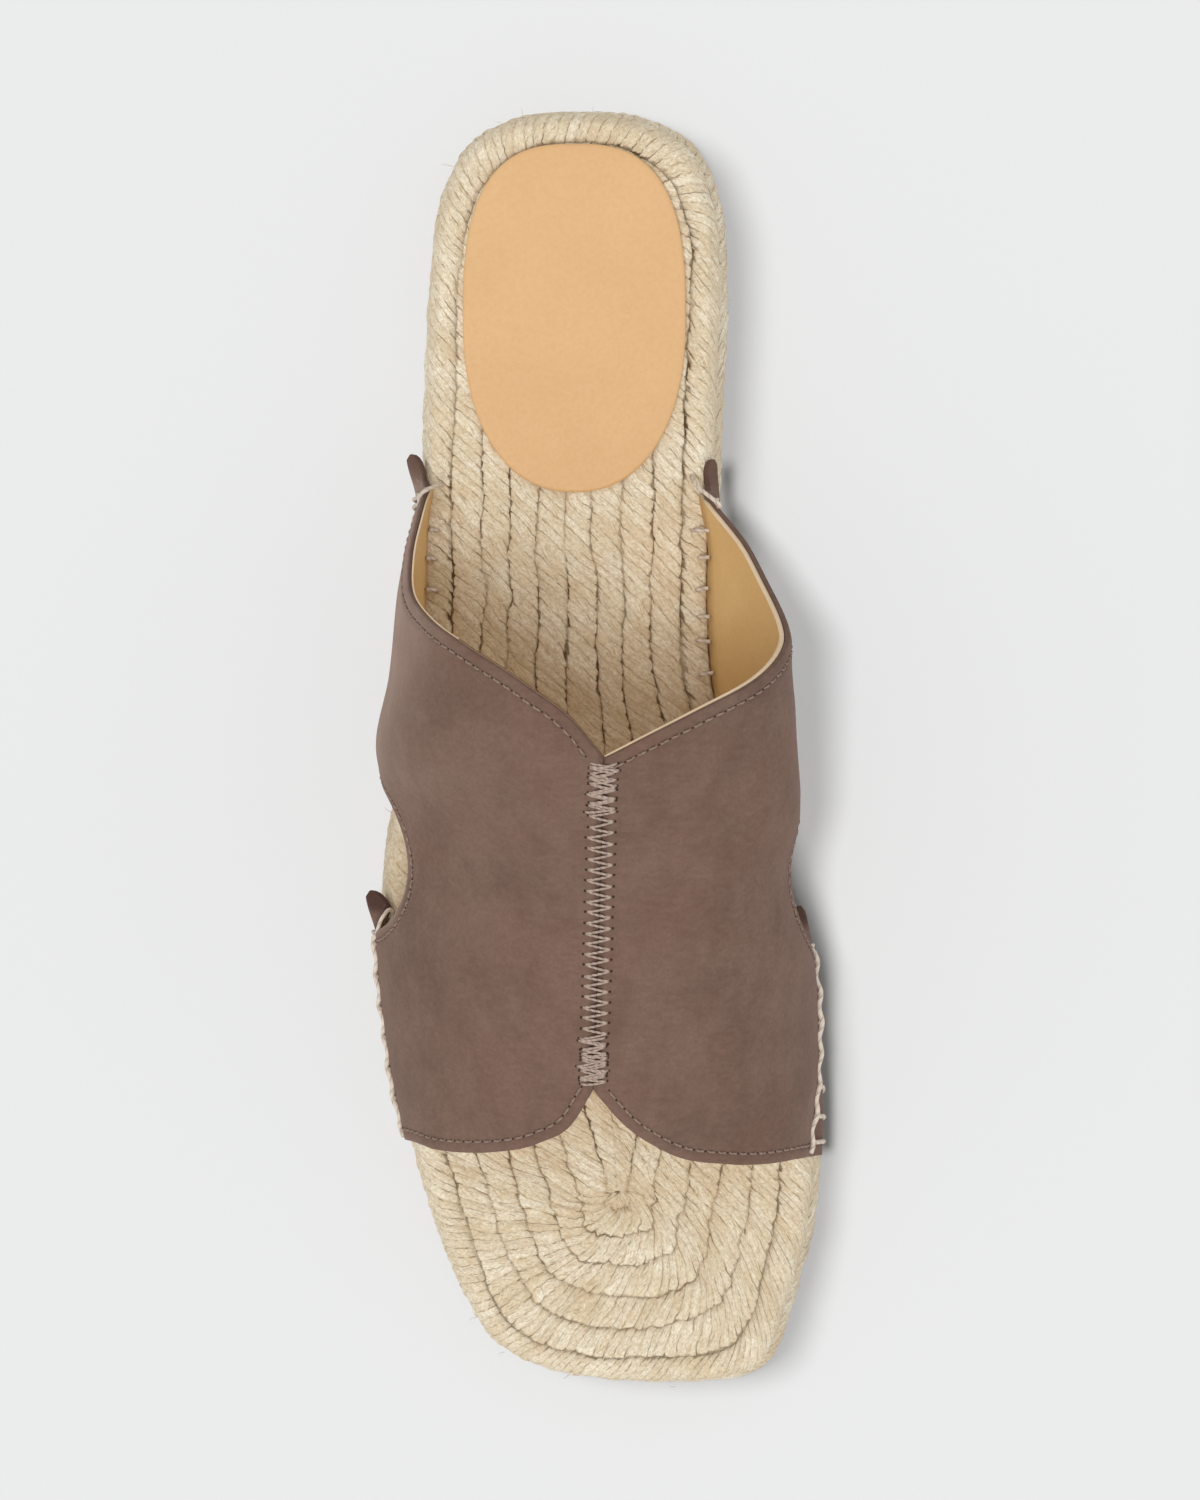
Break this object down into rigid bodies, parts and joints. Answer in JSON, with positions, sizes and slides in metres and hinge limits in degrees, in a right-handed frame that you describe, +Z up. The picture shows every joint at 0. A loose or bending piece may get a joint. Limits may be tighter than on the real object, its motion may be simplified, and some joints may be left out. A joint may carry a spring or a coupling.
{
  "type": "flat sandal",
  "caption": "Flat espadrille slide with a coiled jute sole, a two-panel suede upper joined by a zigzag centre seam, arched side notches and an oval leather heel sock",
  "frame": {"origin": "bottom centre of the shoe's box, on the plane that the sole stands on", "axes": "+Z up, toe towards -Y, heel towards +Y, inner side of the right foot at +X"},
  "size_m": [0.0893, 0.2511, 0.0807],
  "materials": {
    "jute": "natural braided jute, matte and fibrous",
    "suede": "taupe suede with a soft nap, tan leather inside",
    "sock_leather": "smooth tan leather, satin"
  },
  "bodies": {
    "root": {"sole": "jute", "upper": "suede", "heel_sock": "sock_leather"}
  },
  "joints": []
}
